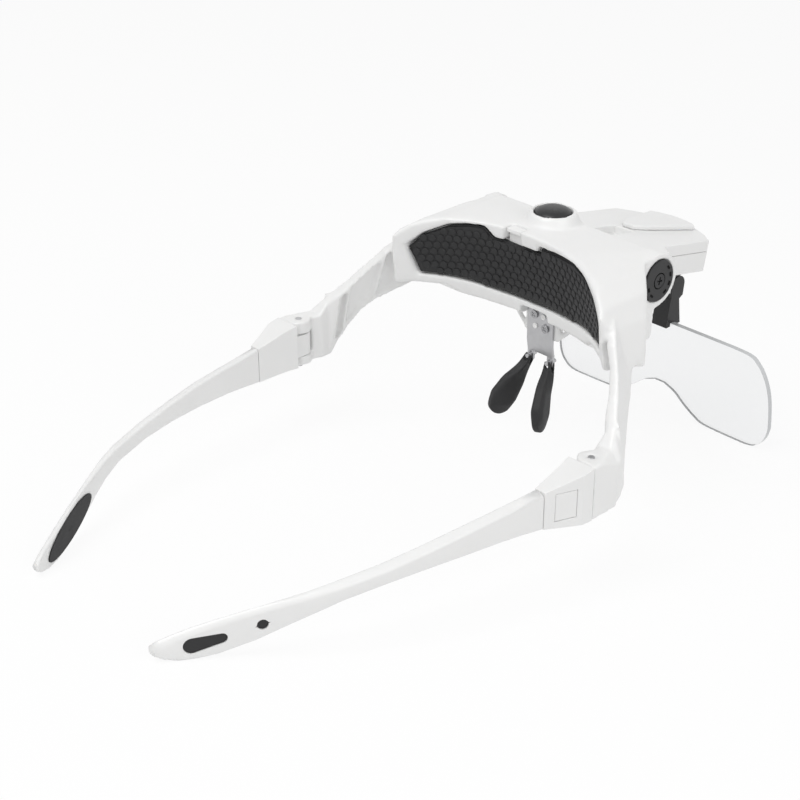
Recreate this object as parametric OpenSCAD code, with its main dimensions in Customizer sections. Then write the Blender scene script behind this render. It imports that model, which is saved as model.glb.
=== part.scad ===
// Lighted headband magnifier.
// The pieces are drawn in a wearing frame: its origin lies midway between the tops of the two
// hinge pins, +X is the wearer's left, +Y points backwards along the temples and +Z is up.
// standing() then lays the whole magnifier on a table, on its lens and its two temple tips.

/* [Frame] */
// Half the distance between the two hinge pins
pin_x = 75; // [72:1:78]
// Width of a side arm of the frame
arm_w = 10; // [9:0.5:12]
// Wall of the frame and of its side arms
frame_wall = 2; // [1.6:0.1:2.4]
// Height of the frame and the hinge block at the hinge
hinge_h = 20.8; // [20:0.2:22]
// Half the straight crest at the top front of the frame
crest_half = 40; // [39:0.5:42]
// How far the crest lies in front of the hinge pins
crest_y = 75; // [74:0.5:77]
// Height of the crest over the pin tops
crest_z = 42; // [41:0.5:43]
// How far the top inner rim lies in front of the pins at its middle
brow_y = 47.5; // [46:0.5:48]
// Radius of the brow arc in plan
brow_r = 74; // [72:1:78]
// Backward lean of the brow wall and the forehead pad, degrees
brow_lean = 9; // [7:1:10]

/* [Lamp and hubs] */
// Distance in front of the pins of the axis that the lamp tilts on
hub_y = 73.5; // [73:0.5:74.5]
// Height of that axis
hub_z = 31; // [30.5:0.5:31.5]
// Outer face of each hub, from the middle of the frame
hub_x = 42.5; // [42:0.1:44]
// Radius of the black cap on each hub
cap_r = 8.1; // [7:0.1:8.5]
// Half the width of the lamp at its front corners
lamp_half = 24; // [22:0.5:26]
// Length of the lamp from the tilt axis to its front
lamp_l = 68.5; // [66:0.5:70]
// Thickness of the lamp
lamp_t = 12.6; // [12:0.2:14]
// Wall of the lamp
lamp_wall = 1.6; // [1.2:0.1:1.8]
// Forward slope of the lamp, degrees
lamp_pitch = 11.5; // [10:0.5:13]

/* [Lens] */
// Half the width of the lens
lens_half = 56; // [50:1:58]
// Height of the lens over its lobes
lens_h = 40.8; // [38:0.2:42]
// Height of the nose notch in the lower edge
notch_h = 12.5; // [9:0.5:14]
// Thickness of the lens
lens_t = 2.6; // [2:0.1:3]
// Distance of the lens in front of the pins
lens_y = 137.5; // [136.5:0.5:138.5]
// Depth of the top edge of the lens below the pin tops
lens_drop = 20.6; // [20:0.2:22]

/* [Temples] */
// Thickness of a temple
temple_t = 4.4; // [3.8:0.2:4.8]
// Radius of a hinge pin
pin_r = 1.2; // [1:0.1:1.5]

/* [Nose rest] */
// Thickness of the steel bracket
bracket_t = 1; // [0.8:0.1:1.4]
// Half the width of the bracket
bracket_half = 6.5; // [6.2:0.1:7]
// Length of a nose pad
nose_pad_l = 25; // [22:0.5:27]
// Thickness of a nose pad
nose_pad_t = 5; // [4:0.2:6]

/* [Controls and cells] */
// Radius of the power button
button_r = 7.2; // [6:0.1:7.6]
// Radius of a battery cell
cell_r = 5.2; // [5:0.05:5.3]
// Length of a battery cell
cell_l = 44.5; // [43:0.5:46]

/* [Hidden] */
// Clearance between parts that slide or swing past each other
gap = 0.3;
// Radial clearance of a running fit
run = 0.05;
// Clearance of a part that is pushed into its seat for good
snug = 0.05;
// How far a cut runs past the face that it breaks through
eps = 0.5;

// Stations along a side arm: y, outer x and top z, outer x and bottom z, from the pin, and width
arm_path = [[5, 6, 0, 6, 0, 10], [-8, 5.8, 0, 5, 0.2, 10], [-12, 4.4, 4, 4, 1, 8.4],
            [-16, -2.6, 7.8, 2.4, 3.2, 5.4], [-20, -5.8, 12, -0.9, 10, 4.4], [-25, -10.4, 18.4, -4.7, 18.2, 4],
            [-30, -16.2, 26, -8.4, 23, 4], [-35, -21, 31.4, -11.8, 25.6, 4], [-40, -25.4, 35, -15.2, 27.6, 4],
            [-49, -32, 37, -22.5, 33, 4]];
// The station inside the arm's solid end where its open section begins
arm_heel = [-15.2, -1.9, 6.6, 2.2, 3.6, 4.9];
// Stations along a temple: y, centre x from the pin, top z, bottom z
temple_path = [[24, -1.7, -4.2, -18.5], [32, -2.6, -4.8, -17.5], [40, -3.5, -5.3, -16.7],
               [55, -5.4, -6.3, -15.9], [70, -8, -7.9, -15.5], [85, -11.3, -9.6, -15.8],
               [100, -15.8, -11.2, -17.4], [108, -19.1, -12.4, -19.8], [115, -22.7, -13.7, -22.4],
               [125, -28.2, -15.5, -26.5], [135, -33.8, -17.6, -29.3], [141, -37.2, -19.1, -29.9],
               [146, -39.9, -20.6, -29.6], [150, -42, -21.9, -28.3], [152.5, -43.3, -23.2, -26.6]];
// Station where a temple touches the table
touch = 12;

lens_low = -lens_drop - lens_h;
touch_y = temple_path[touch][0];
touch_z = temple_path[touch][3];
// Backward lean that lays the lens and the temple tips on one table
lean = atan((touch_z - lens_low) / (touch_y + lens_y - lens_t / 2));
low_z = -touch_y * sin(lean) + touch_z * cos(lean);
tail = temple_path[len(temple_path) - 1];
back_y = tail[0] * cos(lean) + tail[2] * sin(lean);
front_y = -(lens_y + lens_t / 2) * cos(lean) + lens_low * sin(lean);
mid_y = (back_y + front_y) / 2;

// Lays a shape of the wearing frame on the table
module standing() {
    translate([0, -mid_y, -low_z]) rotate([-lean, 0, 0]) children();
}

// Keeps a shape of the wearer's left side, or mirrors it to the right
module on_side(side) {
    if (side > 0) children();
    else mirror([1, 0, 0]) children();
}

// Joins rings of equally many points into one closed skin
module skin(rings) {
    n = len(rings[0]);
    m = len(rings);
    polyhedron(
        points = [for (ring = rings) for (p = ring) p],
        faces = concat(
            [[for (j = [0 : n - 1]) j]],
            [[for (j = [n - 1 : -1 : 0]) (m - 1) * n + j]],
            [for (i = [0 : m - 2]) for (j = [0 : n - 1])
                [i * n + j, (i + 1) * n + j, i * n + (j + 1) % n]],
            [for (i = [0 : m - 2]) for (j = [0 : n - 1])
                [i * n + (j + 1) % n, (i + 1) * n + j, (i + 1) * n + (j + 1) % n]]));
}

// A prism along X of a profile given in y and z
module along_x(x0, x1) {
    translate([x0, 0, 0]) rotate([90, 0, 90]) linear_extrude(x1 - x0) children();
}

// A prism along Y of a profile given in x and z
module along_y(y0, y1) {
    translate([0, y1, 0]) rotate([90, 0, 0]) linear_extrude(y1 - y0) children();
}

function mirrored(pts) = [for (i = [len(pts) - 1 : -1 : 0]) [-pts[i][0], pts[i][1]]];

// Brow and forehead pad

brow_z = crest_z + 1.6;
pad_recess = 0.5;
pad_t = 2.5;
carrier_t = 2;
carrier_r = brow_r + pad_recess + pad_t;
seat_r = carrier_r + carrier_t + snug;
ledge_t = 1.5;
pad_half = 49;
latch_x = 8;
latch_w = 7;
latch_t = 2.2;
latch_l = 24;

// A cylinder along the leaning axis of the brow arc
module brow_cylinder(r, more = 0) {
    translate([0, brow_r - brow_y, brow_z]) rotate([-brow_lean, 0, 0])
        translate([0, 0, -60 - more]) cylinder(r = r, h = 80 + 2 * more, $fn = 180);
}

// The slab between two radii of the brow arc
module brow_slab(r0, r1) {
    difference() {
        brow_cylinder(r1);
        brow_cylinder(r0, 1);
    }
}

// Outline of the forehead pad, seen from behind, taken in by m all round
module pad_outline(m) {
    z0 = brow_z - 43.6;
    half = pad_half - m;
    polygon([[-half + 2.6, z0 + 16.8 + m], [-38, z0 + 16.8 + m], [-30, z0 + 16 + m], [-16, z0 + 14.2 + m],
             [0, z0 + 13.4 + m], [16, z0 + 14.2 + m], [30, z0 + 16 + m], [38, z0 + 16.8 + m],
             [half - 2.6, z0 + 16.8 + m], [half, z0 + 29.4 - m], [43, z0 + 35.2 - m], [34, z0 + 40 - m],
             [27, z0 + 41.4 - m], [latch_x + latch_l / 2 + m, z0 + 41.8 - m],
             [latch_x + latch_l / 2 - 4 + m, z0 + 38 - m], [latch_x - latch_l / 2 - m, z0 + 37.4 - m],
             [latch_x - latch_l / 2 - 1 - m, z0 + 40.2 - m], [-26, z0 + 41.4 - m], [-34, z0 + 40 - m],
             [-43, z0 + 35.2 - m], [-half, z0 + 29.4 - m]]);
}

hook_y = -brow_y - carrier_r + brow_r - 0.7 - latch_t;
hook_low = brow_z - 7;

// The hook that latches the pad carrier in the rim
module latch_hook() {
    translate([latch_x - latch_w / 2, hook_y, hook_low]) {
        cube([latch_w, latch_t, 6.2]);
        translate([0, 0, 4.6]) cube([latch_w, latch_t + 1.6, 1.6]);
    }
}

// The slot for that hook, open to the rear so that the carrier pulls off
module latch_slot() {
    translate([latch_x - latch_w / 2 - gap, hook_y - gap, hook_low - gap])
        cube([latch_w + 2 * gap, 30, 20]);
}

module pad_carrier() {
    color("white") standing() {
        intersection() {
            brow_slab(carrier_r + snug, carrier_r + carrier_t);
            along_y(-80, 0) pad_outline(gap);
        }
        latch_hook();
    }
}

module forehead_pad() {
    color("dimgray") standing() {
        intersection() {
            brow_slab(carrier_r - pad_t + 0.8, carrier_r);
            along_y(-80, 0) pad_outline(0.8);
        }
        intersection() {
            brow_slab(carrier_r - pad_t, carrier_r - pad_t + 0.9);
            along_y(-80, 0) pad_outline(1.5);
        }
    }
}

// Front frame

ear_t = 3;
ear_r = cap_r + 2.4;
bush_r = 3.2;
cheek_t = 3.4;
cheek_x = hub_x - ear_t - gap;
cheek_r = 8.4;
cap_seat = 1.4;
wall_x = cheek_x - cheek_t - gap - frame_wall;
boss_half = 7.4;
boss_y = 58.6;
boss_d = 4.4;
floor_z = 7.4;
plate_top = 11;
button_x = 4;
button_y = crest_y - 8;
button_z = crest_z + 3.8;
bracket_holes = [[2.8, 7.5], [-2.8, 3]];

function arm_ring(s) =
    let(xt = pin_x + s[1], zt = s[2], xb = pin_x + s[3], zb = s[4] - hinge_h, w = s[5], t = frame_wall,
        k = (xt - xb) / (zt - zb), lo = zb + t, hi = zt - t)
    [[xt, s[0], zt], [xb, s[0], zb], [xb - w, s[0], zb], [xb - w, s[0], lo],
     [xb + k * t - t, s[0], lo], [xt - k * t - t, s[0], hi], [xt - w, s[0], hi], [xt - w, s[0], zt]];

function solid_ring(s) =
    let(xt = pin_x + s[1], zt = s[2], xb = pin_x + s[3], zb = s[4] - hinge_h, w = s[5])
    [[xt, s[0], zt], [xb, s[0], zb], [xb - w, s[0], zb], [xt - w, s[0], zt]];

// Half of the outline of the centre housing in plan, taken in by m
function housing_side(m) =
    [[crest_half - m, -crest_y + m], [hub_x - 0.8 - m, -71.5 + m], [hub_x - 0.5 - m, -65.4],
     [46.6 - m, -60.4], [51.4 - m, -55.4], [56.2 - m, -50.4], [60.6 - m, -45.5], [59.4 - m, -41 - m],
     [50.5 - m, -26 - m]];

// The space of the centre housing, taken in by m
module housing_space(m) {
    intersection() {
        translate([0, 0, -5]) linear_extrude(60)
            polygon(concat(housing_side(m), mirrored(housing_side(m))));
        along_x(-70, 70) polygon([
            [-crest_y - 1, crest_z - m], [-crest_y, crest_z - m], [-60, crest_z + 1.2 - m],
            [-brow_y, brow_z - m], [-40, 42.2 - m], [-34, 38.8 - m], [-30, 34.6 - m], [-24, 30 - m],
            [-24, 20 + m], [-28, 12.6 + m], [-32, 11.8 + m], [-38, 12.8 + m], [-44, 13 + m], [-46.8, 10 + m],
            [-56, floor_z + m], [-crest_y - 1, floor_z + m]]);
        along_y(-100, 0) polygon([
            [-62, 5], [-61, 8], [-55, 28 - m], [-51, 35.6 - m], [-44, 40.6 - m], [-36, 42.6 - m],
            [-26, 43.4 - m], [0, 43.8 - m], [26, 43.4 - m], [36, 42.6 - m], [44, 40.6 - m],
            [51, 35.6 - m], [55, 28 - m], [61, 8], [62, 5]]);
        along_x(-70, 70) polygon([
            [-100, 60], [-20, 60], [-20, 0], [-56, 0], [-crest_y + 3, floor_z - 1],
            [-crest_y, floor_z + 2], [-100, floor_z + 2]]);
    }
}

// The plate that carries one hub
module hub_ear() {
    along_x(hub_x - ear_t, hub_x) {
        translate([-hub_y, hub_z]) circle(r = ear_r, $fn = 72);
        polygon([[-50, 36], [-60, crest_z - 1], [-hub_y, hub_z + ear_r], [-hub_y - ear_r, hub_z],
                 [-hub_y - 6, hub_z - 8.7], [-66, 17], [-56, 13]]);
    }
}

// The bores of one hub: the seat of the cap and the running bore of the bush
module hub_bores() {
    translate([0, -hub_y, hub_z]) rotate([0, 90, 0]) {
        translate([0, 0, hub_x - cap_seat]) cylinder(r = cap_r + gap, h = cap_seat + 4, $fn = 64);
        translate([0, 0, hub_x - ear_t - eps]) cylinder(r = bush_r + run, h = ear_t + 1, $fn = 48);
    }
}

// The pocket that one cheek of the lamp tilts in
module cheek_pocket() {
    along_x(wall_x + frame_wall, hub_x - ear_t) {
        translate([-hub_y, hub_z]) circle(r = cheek_r + gap, $fn = 72);
        polygon([[-crest_y - 9, hub_z + cheek_r + gap], [-hub_y, hub_z + cheek_r + gap],
                 [-hub_y + cheek_r + gap, hub_z], [-hub_y + 5, hub_z - 8], [-crest_y - 9, hub_z - 16]]);
    }
}

// The ribs across one side arm
module arm_ribs() {
    for (i = [4, 6]) let(s = arm_path[i], low = s[4] - hinge_h + 1, w = s[5] - 0.2)
        translate([pin_x, 0, 0]) along_y(s[0], s[0] + 1.2)
            polygon([[s[1] - 0.9, s[2] - 1], [s[3] - 0.9, low], [s[3] - w, low], [s[1] - w, s[2] - 1]]);
}

knuckle_low = -14.8;
knuckle_high = -5.2;
knuckle_r = 4.4;
lug_end_r = 4.9;
// How much higher the inner edge of an arm end lies than its outer edge
heel = 2.3;
fork_y = arm_path[1][0];

// The end of one side arm, forked round the knuckle of its hinge block
module arm_fork() {
    difference() {
        union() {
            translate([pin_x, 0, -hinge_h]) linear_extrude(hinge_h) {
                polygon([[6, 5], [5.8, fork_y], [5.8 - arm_w, fork_y], [1.5, 5]]);
                circle(r = lug_end_r, $fn = 48);
            }
            skin([for (i = [3 : -1 : 1]) solid_ring(arm_path[i])]);
        }
        translate([pin_x - 14, -knuckle_r - gap, knuckle_low])
            cube([14 + knuckle_r + gap, 14, knuckle_high - knuckle_low]);
        translate([pin_x, 0, -hinge_h - 1]) cylinder(r = pin_r + snug, h = hinge_h + 2, $fn = 32);
    }
}

// The block under the brow that the nose bracket is screwed to, with its two gussets
module nose_boss() {
    translate([-boss_half, -boss_y - boss_d, -1.5]) cube([2 * boss_half, boss_d, floor_z + 3]);
    along_y(-boss_y - 2, -boss_y - 0.4) difference() {
        polygon([[-15, floor_z + 1.4], [15, floor_z + 1.4], [14, 4], [8, -1.5], [-8, -1.5], [-14, 4]]);
        polygon([[-12.6, 7], [-8.6, 7], [-8.6, 1]]);
        polygon([[12.6, 7], [8.6, 7], [8.6, 1]]);
    }
}

screw_r = 0.9;

module screw_bores() {
    for (p = bracket_holes)
        translate([p[0], -boss_y + 1, p[1]]) rotate([90, 0, 0]) cylinder(r = screw_r + snug, h = 6, $fn = 24);
}

// The notch in the lower rim that the bracket's plate stands in
module plate_notch() {
    translate([-bracket_half - gap, -boss_y, floor_z - 3])
        cube([2 * (bracket_half + gap), 20, plate_top + gap - floor_z + 3]);
}

// Slopes the underside of one arm end, so that the tip of the other temple folds past below it
module heel_cut() {
    along_y(-18, seam_y) polygon([
        [pin_x - 8, -hinge_h - 2], [pin_x + 6.2, -hinge_h - 2], [pin_x + 6.2, -hinge_h],
        [pin_x - 4.9, -hinge_h + heel], [pin_x - 8, -hinge_h + heel + 0.6]]);
}

// Slopes the outer top edge of one arm end
module shoulder_cut() {
    skin([for (s = [[-14, 72.6, 7, -13], [-8, 75.6, 1.8, -7.4], [seam_y + 1, 79.8, 0.6, -1.4]])
        [[pin_x + 8, s[0], s[2] + 4], [pin_x + 8, s[0], s[3]], [s[1], s[0], s[2]], [s[1], s[0], s[2] + 4]]]);
}

module front_frame() {
    color("white") standing() {
        difference() {
            union() {
                difference() {
                    housing_space(0);
                    brow_cylinder(brow_r);
                    difference() {
                        housing_space(frame_wall);
                        brow_cylinder(seat_r + ledge_t);
                        for (side = [-1, 1]) on_side(side) translate([wall_x, -100, 0]) cube([40, 80, 60]);
                    }
                    intersection() {
                        brow_slab(brow_r - 2, seat_r);
                        along_y(-80, 0) pad_outline(0);
                    }
                    intersection() {
                        brow_slab(brow_r, seat_r + ledge_t + 1);
                        along_y(-80, 0) pad_outline(1.6);
                    }
                }
                for (side = [-1, 1]) on_side(side) {
                    skin(concat([for (i = [len(arm_path) - 1 : -1 : 3]) arm_ring(arm_path[i])],
                                [arm_ring(arm_heel)]));
                    arm_fork();
                    arm_ribs();
                    hub_ear();
                }
                nose_boss();
                intersection() {
                    translate([button_x, -button_y, button_z - 5]) cylinder(r1 = 11.6, r2 = 8.8, h = 6.2, $fn = 64);
                    translate([-crest_half, -crest_y, 0]) cube([2 * crest_half, crest_y, 60]);
                }
            }
            plate_notch();
            screw_bores();
            for (side = [-1, 1]) on_side(side) {
                heel_cut();
                shoulder_cut();
                hub_bores();
                cheek_pocket();
            }
            latch_slot();
            translate([button_x, -button_y, button_z - 6.8]) cylinder(r = button_r + gap, h = 20, $fn = 64);
        }
    }
}

// Power button, switch and cells

button_travel = 1.2;
stem_r = 1.5;
skirt_h = 4;
stem_l = 6;
switch_w = 12;
switch_h = 5.6;

module power_button() {
    color("dimgray") standing() translate([button_x, -button_y, button_z]) {
        rotate_extrude($fn = 64) polygon([
            [0, -skirt_h - 0.4], [button_r - 1.2, -skirt_h - 0.4], [button_r, -skirt_h + 0.4], [button_r, 0.2],
            [button_r - 0.6, 1.2], [button_r - 2, 2], [button_r - 4, 2.5], [0, 2.6]]);
        translate([0, 0, -skirt_h - stem_l]) cylinder(r = stem_r, h = stem_l + 0.5, $fn = 32);
    }
}

switch_z = button_z - skirt_h - stem_l - button_travel - 1.3;

module switch_body() {
    color("black") standing() translate([button_x, -button_y, switch_z]) difference() {
        translate([-switch_w / 2, -switch_w / 2, 0]) cube([switch_w, switch_w - 1, switch_h]);
        translate([0, 0, 1]) cylinder(r = stem_r + run, h = switch_h, $fn = 32);
    }
}

cell_gap = 0.3;
cell_pitch = 2 * cell_r + cell_gap;
tray_wall = 1.2;
contact_t = 0.4;
tray_half = cell_l / 2 + contact_t + tray_wall + 2 * snug;
tray_front = -crest_y + frame_wall + gap;
cell_y = tray_front + tray_wall + cell_r + snug;
tray_top = switch_z - snug;
cell_z = tray_top - tray_wall - cell_r - snug;
tray_low = cell_z - cell_pitch - cell_r - tray_wall - snug;

// The two cell axes, as heights
cell_heights = [cell_z, cell_z - cell_pitch];

module battery_tray() {
    color("black") standing() difference() {
        translate([-tray_half, tray_front, tray_low])
            cube([2 * tray_half, cell_r + tray_wall + 3, tray_top - tray_low]);
        for (z = cell_heights)
            translate([0, cell_y, z]) rotate([0, 90, 0])
                cylinder(r = cell_r + snug, h = cell_l + 2 * contact_t + 4 * snug, center = true, $fn = 64);
        translate([-tray_half + tray_wall, cell_y, tray_low + tray_wall])
            cube([2 * (tray_half - tray_wall), 20, tray_top - tray_low - 2 * tray_wall]);
    }
}

module battery_cells() {
    color("silver") standing() for (i = [0, 1]) {
        side = i == 0 ? 1 : -1;
        translate([0, cell_y, cell_heights[i]]) on_side(side) rotate([0, 90, 0]) {
            translate([0, 0, -cell_l / 2]) cylinder(r = cell_r, h = cell_l - 0.8, $fn = 64);
            translate([0, 0, cell_l / 2 - 0.8]) cylinder(r = 1.9, h = 0.8, $fn = 32);
        }
    }
}

module battery_contacts() {
    color("silver") standing() for (x = [-1, 1], z = cell_heights)
        translate([x * (cell_l / 2 + snug + contact_t / 2) - contact_t / 2, cell_y - 3.4, z - 3.4])
            cube([contact_t, 6.8, 6.8]);
}

// Lamp: drawn from its tilt axis, forward along -Y, with the lamp's own slope taken out

lamp_top = 5.2;
lamp_low = lamp_top - lamp_t;
part_z = lamp_top - 4.7;
lamp_back = 12.5;
led_x = 15.5;
led_y = lamp_l - 14;
led_r = 2.5;
window_r = 4.4;
window_t = 1.2;
board_z = lamp_low + 6.4;
lid_t = 1.9;
lug_in = 4.3;
lug_t = 2;
lug_r = 3;
arm_pin_y = lamp_l - 2.6;
arm_pin_z = lamp_low - 3.6;

module lamp_frame() {
    standing() translate([0, -hub_y, hub_z]) rotate([lamp_pitch, 0, 0]) children();
}

// Half of the outline of the lamp in plan, taken in by m
function lamp_side(m) =
    [[cheek_x - 2.4 * m, -lamp_back - m], [lamp_half - m, -27 + 0.4 * m],
     [lamp_half - m, -lamp_l + 12.4 + 0.4 * m], [lamp_half * 0.78 - 0.75 * m, -lamp_l + 7.6 + 0.8 * m],
     [lamp_half * 0.58 - 0.6 * m, -lamp_l + 4.4 + 0.9 * m], [lamp_half * 0.36 - 0.4 * m, -lamp_l + 1.7 + m],
     [lamp_half * 0.15 - 0.2 * m, -lamp_l + 0.3 + m], [0, -lamp_l + m]];

module lamp_prism(m, z0, z1) {
    translate([0, 0, z0]) linear_extrude(z1 - z0)
        polygon(concat(lamp_side(m), mirrored(lamp_side(m))));
}

module lamp_shell_lower() {
    color("white") lamp_frame() difference() {
        union() {
            difference() {
                lamp_prism(0, lamp_low, part_z);
                lamp_prism(lamp_wall, lamp_low + lamp_wall, part_z + eps);
            }
            for (side = [-1, 1]) on_side(side) {
                along_x(cheek_x - cheek_t, cheek_x) {
                    circle(r = cheek_r, $fn = 64);
                    polygon([[-lamp_back - 1.4, part_z], [-3, 4], [-3, -7], [-lamp_back - 1.4, lamp_low]]);
                }
                along_x(lug_in, lug_in + lug_t) {
                    translate([-arm_pin_y, arm_pin_z]) circle(r = lug_r, $fn = 32);
                    polygon([[-arm_pin_y - lug_r, arm_pin_z], [-arm_pin_y + lug_r, arm_pin_z],
                             [-arm_pin_y + lug_r, lamp_low + 1], [-arm_pin_y - lug_r + 1.4, lamp_low + 1]]);
                }
                translate([led_x, -led_y, lamp_low + lamp_wall - eps])
                    cylinder(r = window_r + 1.6, h = board_z - snug - lamp_low - lamp_wall + eps, $fn = 48);
            }
        }
        for (side = [-1, 1]) on_side(side) {
            rotate([0, 90, 0]) translate([0, 0, cheek_x - cheek_t - 1])
                cylinder(r = bush_r + snug, h = cheek_t + 2, $fn = 48);
            translate([led_x, -led_y, lamp_low - 1]) cylinder(r = window_r + snug, h = 1 + window_t, $fn = 48);
            translate([led_x, -led_y, lamp_low]) cylinder(r = led_r + gap, h = lamp_t, $fn = 32);
        }
        translate([-lug_in - lug_t - 1, -arm_pin_y, arm_pin_z]) rotate([0, 90, 0])
            cylinder(r = axle_r + snug, h = 2 * (lug_in + lug_t + 1), $fn = 24);
    }
}

// The finger recess behind the lid
recess_half = 4.6;
recess_y = 33;
recess_d = 3.4;

module lamp_shell_upper() {
    color("white") lamp_frame() difference() {
        union() {
            difference() {
                lamp_prism(0, part_z + snug, lamp_top);
                lamp_prism(lamp_wall, part_z - eps, lamp_top - lamp_wall);
            }
            translate([-recess_half - 1.2, -recess_y, lamp_top - recess_d - 1.2])
                cube([2 * recess_half + 2.4, recess_y - lamp_back - 0.5, recess_d + 0.6]);
        }
        translate([-recess_half, -recess_y + 1.2, lamp_top - recess_d]) cube([2 * recess_half, recess_y, 10]);
    }
}

module lamp_cover() {
    color("white") lamp_frame() {
        translate([0, 0, lamp_top + snug]) linear_extrude(lid_t)
            polygon([[-2.6, -recess_y - 0.4], [2.6, -recess_y - 0.4], [5.5, -recess_y - 6],
                     [7.5, -recess_y - 14], [lamp_half * 0.48, -lamp_l + 5.6], [lamp_half * 0.36, -lamp_l + 3.4],
                     [lamp_half * 0.15, -lamp_l + 1.9], [0, -lamp_l + 1.5], [-lamp_half * 0.15, -lamp_l + 1.9],
                     [-lamp_half * 0.36, -lamp_l + 3.4], [-lamp_half * 0.48, -lamp_l + 5.6],
                     [-7.5, -recess_y - 14], [-5.5, -recess_y - 6]]);
    }
}

board_t = 1;

module led_board() {
    color("seagreen") lamp_frame() translate([-led_x - 3, -led_y - 4.5, board_z])
        cube([2 * led_x + 6, 9, board_t]);
}

module leds() {
    color("ivory") lamp_frame() for (x = [-led_x, led_x]) translate([x, -led_y, 0]) {
        translate([0, 0, lamp_low + window_t + led_r + 0.3])
            cylinder(r = led_r, h = board_z - lamp_low - window_t - led_r - 0.3, $fn = 32);
        translate([0, 0, lamp_low + window_t + led_r + 0.3]) sphere(r = led_r, $fn = 32);
    }
}

module led_windows() {
    color("white", 0.5) lamp_frame() for (x = [-led_x, led_x])
        translate([x, -led_y, lamp_low]) cylinder(r = window_r, h = window_t - snug, $fn = 48);
}

// Hubs

hub_screw_r = 1.4;

module hub_caps() {
    color("dimgray") lamp_frame() for (side = [-1, 1]) on_side(side) rotate([0, 90, 0]) difference() {
        translate([0, 0, hub_x - cap_seat + run]) cylinder(r = cap_r, h = cap_seat + 0.4, $fn = 64);
        translate([0, 0, hub_x - 0.6]) cylinder(r = 3.1, h = 4, $fn = 48);
        translate([0, 0, hub_x - 3]) cylinder(r = hub_screw_r + snug, h = 6, $fn = 32);
    }
}

module hub_bushes() {
    color("silver") lamp_frame() for (side = [-1, 1]) on_side(side) rotate([0, 90, 0]) difference() {
        translate([0, 0, cheek_x - cheek_t]) cylinder(r = bush_r, h = hub_x - cap_seat - cheek_x + cheek_t, $fn = 48);
        translate([0, 0, cheek_x - cheek_t - 1]) cylinder(r = hub_screw_r + snug, h = 12, $fn = 32);
    }
}

module hub_screws() {
    color("black") lamp_frame() for (side = [-1, 1]) on_side(side) rotate([0, 90, 0]) difference() {
        union() {
            translate([0, 0, cheek_x - cheek_t + 0.2]) cylinder(r = hub_screw_r, h = hub_x - cheek_x + cheek_t - 0.5, $fn = 32);
            translate([0, 0, hub_x - 0.6 + snug]) cylinder(r = 2.8, h = 1, $fn = 48);
        }
        for (a = [0, 90]) rotate([0, 0, a]) translate([-1.5, -0.3, hub_x - 0.2]) cube([3, 0.6, 2]);
    }
}

// Lens arm and clip

axle_r = 1;
arm_half = 3.8;
tongue_half = 1.7;
clip_pin_y = lens_y + 1.9;
clip_pin_z = -lens_drop + 16.4;
clip_r = 4.1;
top_pin_y = hub_y + arm_pin_y * cos(lamp_pitch) + arm_pin_z * sin(lamp_pitch);
top_pin_z = hub_z - arm_pin_y * sin(lamp_pitch) + arm_pin_z * cos(lamp_pitch);

module lens_arm() {
    color("dimgray") standing() difference() {
        union() {
            along_x(-arm_half, arm_half) {
                translate([-top_pin_y, top_pin_z]) circle(r = 3.2, $fn = 32);
                polygon([[-top_pin_y + 3.2, top_pin_z], [-top_pin_y - 3.2, top_pin_z],
                         [-clip_pin_y - 3, clip_pin_z + clip_r + gap], [-clip_pin_y + 3.4, clip_pin_z + clip_r + gap]]);
            }
            along_x(-tongue_half, tongue_half) {
                translate([-clip_pin_y, clip_pin_z]) circle(r = clip_r - 0.4, $fn = 32);
                polygon([[-clip_pin_y + 3.4, clip_pin_z + clip_r + 0.8], [-clip_pin_y - 3, clip_pin_z + clip_r + 0.8],
                         [-clip_pin_y - 3, clip_pin_z], [-clip_pin_y + 3.4, clip_pin_z]]);
            }
        }
        for (p = [[top_pin_y, top_pin_z], [clip_pin_y, clip_pin_z]])
            translate([-10, -p[0], p[1]]) rotate([0, 90, 0]) cylinder(r = axle_r + run, h = 20, $fn = 24);
    }
}

// The pin that holds the arm in the lamp
module arm_pin() {
    color("silver") standing() translate([-lug_in - lug_t, -top_pin_y, top_pin_z]) rotate([0, 90, 0])
        cylinder(r = axle_r, h = 2 * (lug_in + lug_t), $fn = 24);
}

tab_half = 2.8;
tab_h = 8;
clip_low = -lens_drop - 1.4;

module lens_clip() {
    color("dimgray") standing() {
        difference() {
            union() {
                along_x(-arm_half, arm_half)
                    polygon([[-lens_y - 4.9, clip_low], [-lens_y - 3.2, clip_pin_z - 6.4], [-clip_pin_y - 3.6, clip_pin_z - clip_r - 1],
                             [-clip_pin_y + 4.4, clip_pin_z - clip_r - 1], [-lens_y + 3.3, clip_low + 8], [-lens_y + 4.2, clip_low]]);
                for (side = [-1, 1]) on_side(side) along_x(tongue_half + gap, arm_half) {
                    translate([-clip_pin_y, clip_pin_z]) circle(r = clip_r, $fn = 32);
                    polygon([[-clip_pin_y - clip_r, clip_pin_z], [-clip_pin_y + clip_r, clip_pin_z],
                             [-clip_pin_y + 4.2, clip_pin_z - clip_r - 1.2], [-clip_pin_y - 3.5, clip_pin_z - clip_r - 1.2]]);
                }
            }
            translate([-tab_half - gap, -lens_y - lens_t / 2 - gap, clip_low - 1])
                cube([2 * (tab_half + gap), lens_t + 2 * gap, tab_h + 1.7]);
            translate([-arm_half - 1, -lens_y - lens_t / 2 - gap, clip_low - 1])
                cube([2 * arm_half + 2, lens_t + 2 * gap, 2.7]);
        }
        translate([-arm_half, -clip_pin_y, clip_pin_z]) rotate([0, 90, 0])
            cylinder(r = axle_r, h = 2 * arm_half, $fn = 24);
    }
}

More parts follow.
